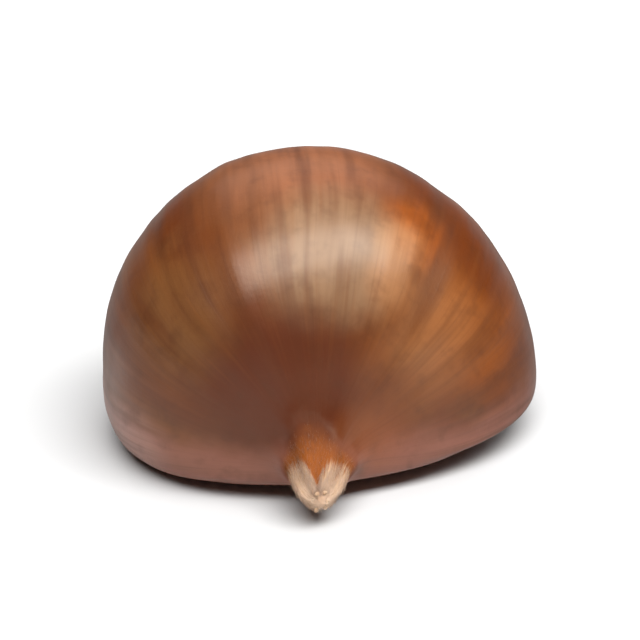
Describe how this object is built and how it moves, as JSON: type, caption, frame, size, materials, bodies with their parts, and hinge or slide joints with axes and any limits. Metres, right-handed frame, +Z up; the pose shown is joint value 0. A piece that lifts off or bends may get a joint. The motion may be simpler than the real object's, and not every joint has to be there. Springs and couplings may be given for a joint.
{
  "type": "chestnut",
  "caption": "Whole sweet chestnut lying on its flatter cheek, with a glossy ribbed brown shell, a broad matt scar at its base and a short downy torch at its tip.",
  "frame": {"origin": "on the small flat spot that the nut lies on, straight below the middle of its widest section", "axes": "-Y along the nut towards its tip and +Y towards its base, +X across its width, +Z up through its thickness"},
  "size_m": [0.0362, 0.0317, 0.024],
  "materials": {
    "shell": "glossy brown nut shell, with a matt tan scar and a downy tip",
    "down": "silky pale plant down on the torch, and the dried styles in it"
  },
  "bodies": {
    "root": {"chestnut": "shell"}
  },
  "joints": []
}
